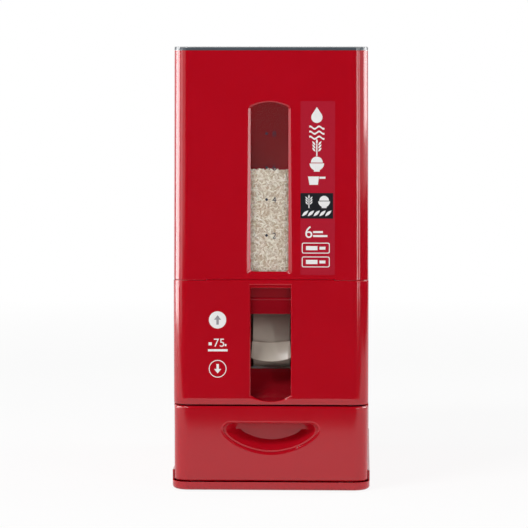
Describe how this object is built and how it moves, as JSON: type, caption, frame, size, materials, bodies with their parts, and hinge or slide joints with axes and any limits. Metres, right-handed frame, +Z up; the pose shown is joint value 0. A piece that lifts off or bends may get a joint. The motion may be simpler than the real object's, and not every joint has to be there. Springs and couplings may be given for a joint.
{
  "type": "rice dispenser with drawer",
  "caption": "Upright box-shaped rice dispenser: lidded tank with a window above a lever-turned measuring drum and a pull-out drawer.",
  "frame": {"origin": "middle of the footprint, on the floor", "axes": "+Z up, -Y towards the front with window and drawer, +X to the right seen from the front"},
  "size_m": [0.2, 0.342, 0.4477],
  "materials": {
    "red_shell": "glossy moulded red",
    "natural_pp": "satin, slightly see-through",
    "lever_grey": "satin warm grey",
    "smoke_lid": "glossy smoke grey",
    "window_clear": "clear moulded pane",
    "steel": "bright zinc plate",
    "rubber_dark": "matt",
    "bush_white": "smooth"
  },
  "bodies": {
    "housing": {"base_tray": "red_shell", "rubber_feet": "rubber_dark", "base_screws": "steel", "drawer_runner_left": "natural_pp", "drawer_runner_right": "natural_pp", "body_shell": "red_shell", "lever_trough": "red_shell", "bay_ceiling": "natural_pp", "outlet_spout": "natural_pp", "metering_case": "natural_pp", "case_cover": "natural_pp", "cover_screws": "steel", "case_screws": "steel", "throat_wipers": "rubber_dark", "drum_axle": "steel", "axle_bushes": "bush_white", "axle_clips": "steel", "hopper": "natural_pp"},
    "drum": {"metering_drum": "lever_grey", "lever_paddle": "lever_grey"},
    "drawer": {"drawer_front": "red_shell", "drawer_tray": "natural_pp", "drawer_screws": "steel"},
    "tank": {"tank_shell": "red_shell", "window_pane": "window_clear", "lid_hinge_pins": "steel"},
    "lid_body": {"lid": "smoke_lid"}
  },
  "joints": [
    {"name": "drum_turn", "type": "hinge", "parent": "housing", "child": "drum", "pos_m": [0, -0.1125, 0.1505], "axis": [-1, 0, 0], "range_deg": [-19, 47]},
    {"name": "drawer_slide", "type": "slide", "parent": "housing", "child": "drawer", "axis": [0, -1, 0], "range_m": [0, 0.18]},
    {"name": "tank_lift", "type": "slide", "parent": "housing", "child": "tank", "axis": [0, 0, 1], "range_m": [0, 0.06]},
    {"name": "lid_hinge", "type": "hinge", "parent": "tank", "child": "lid_body", "pos_m": [0, 0.1673, 0.4403], "axis": [-1, 0, 0], "range_deg": [0, 105]}
  ]
}
